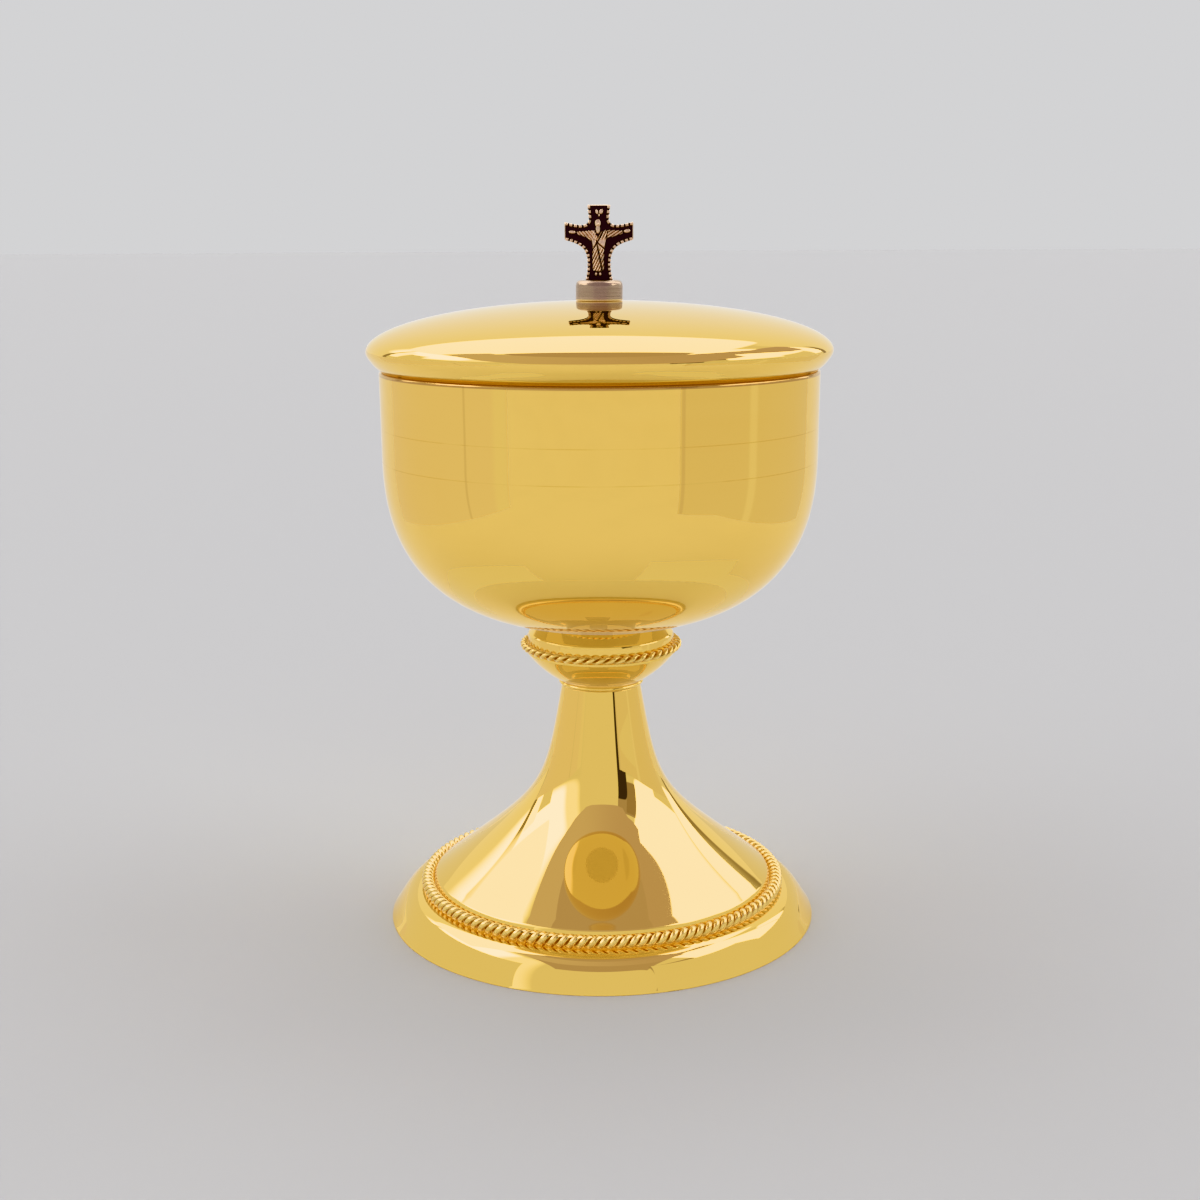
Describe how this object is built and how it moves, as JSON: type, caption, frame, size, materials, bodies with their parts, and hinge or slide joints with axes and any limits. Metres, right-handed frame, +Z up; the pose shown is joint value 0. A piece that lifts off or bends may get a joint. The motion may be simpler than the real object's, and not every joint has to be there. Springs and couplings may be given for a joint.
{
  "type": "ciborium",
  "caption": "Lidded ciborium: footed polished gilt cup with twisted rope rings on foot and knop, a lift-off domed lid and a small bronze cross in relief.",
  "frame": {"origin": "centre of the flat underside of the foot, on the table", "axes": "+Z up along the axis of foot, bowl and lid; the face of the cross looks towards -Y; the arms of the cross lie along X"},
  "size_m": [0.1278, 0.1278, 0.2013],
  "materials": {
    "gilt": "gold-plated, mirror polish",
    "gilt_rope": "gold-plated twisted wire, bright on the crests",
    "plain_brass": "plain turned brass",
    "bronze": "bronze tone, finely brushed round the barrel",
    "dark_bronze": "cast bronze, dark in the field and rubbed bright on the relief",
    "steel": "plain bright steel"
  },
  "bodies": {
    "cup": {"foot_shell": "gilt", "foot_rope_ring": "gilt_rope", "knop_cup": "gilt", "knop_rope_ring": "gilt_rope", "knop_neck": "gilt", "bowl": "gilt", "bowl_boss": "plain_brass", "tie_rod": "plain_brass", "clamp_disc": "plain_brass", "clamp_washer": "steel", "clamp_nut": "steel"},
    "lid": {"lid_shell": "gilt", "lid_lip_ring": "gilt", "finial_barrel": "bronze", "finial_cross": "dark_bronze", "finial_stud": "steel", "finial_washer": "plain_brass", "finial_nut": "plain_brass"}
  },
  "joints": [
    {"name": "lid_lift", "type": "slide", "parent": "cup", "child": "lid", "axis": [0, 0, 1], "range_m": [0, 0.08]}
  ]
}
